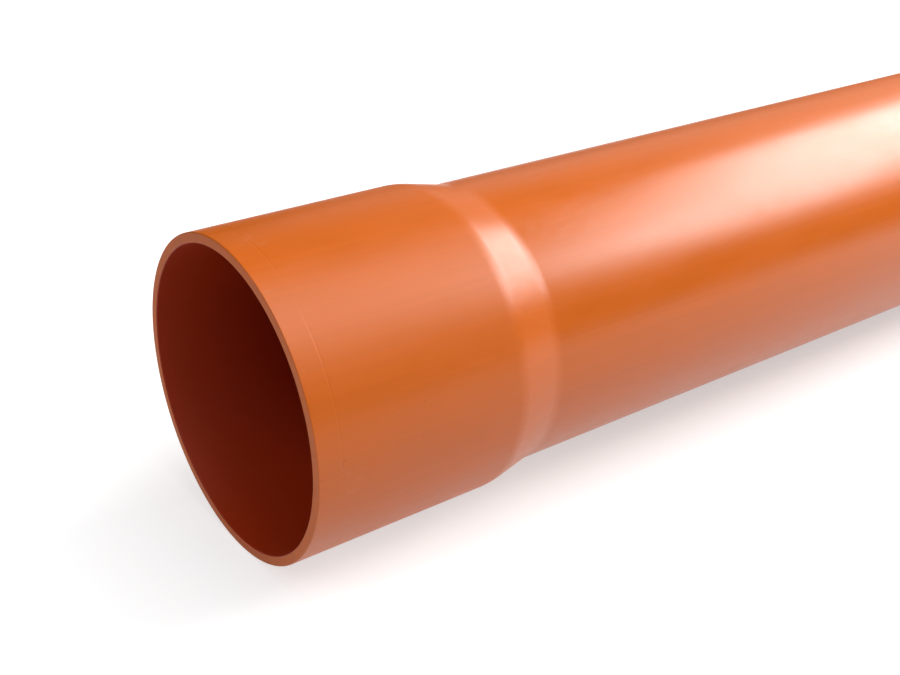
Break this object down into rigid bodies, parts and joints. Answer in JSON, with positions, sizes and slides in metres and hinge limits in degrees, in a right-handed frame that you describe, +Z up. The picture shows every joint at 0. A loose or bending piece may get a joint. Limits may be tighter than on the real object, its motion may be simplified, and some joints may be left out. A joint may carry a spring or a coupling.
{
  "type": "pvc sewer pipe",
  "caption": "Straight plastic drain pipe in orange-brown, one end opened out into a plain glue socket, the other a spigot with a shallow lead-in.",
  "frame": {"origin": "on the floor, under the middle of the pipe's length and under its axis", "axes": "+X along the pipe's axis from the socket's mouth to the spigot's end, +Z up"},
  "size_m": [1, 0.1178, 0.1179],
  "materials": {
    "pvc_orange_brown": "semi-gloss extruded rigid PVC, matter on the socket"
  },
  "bodies": {
    "root": {"sewer_pipe": "pvc_orange_brown"}
  },
  "joints": []
}
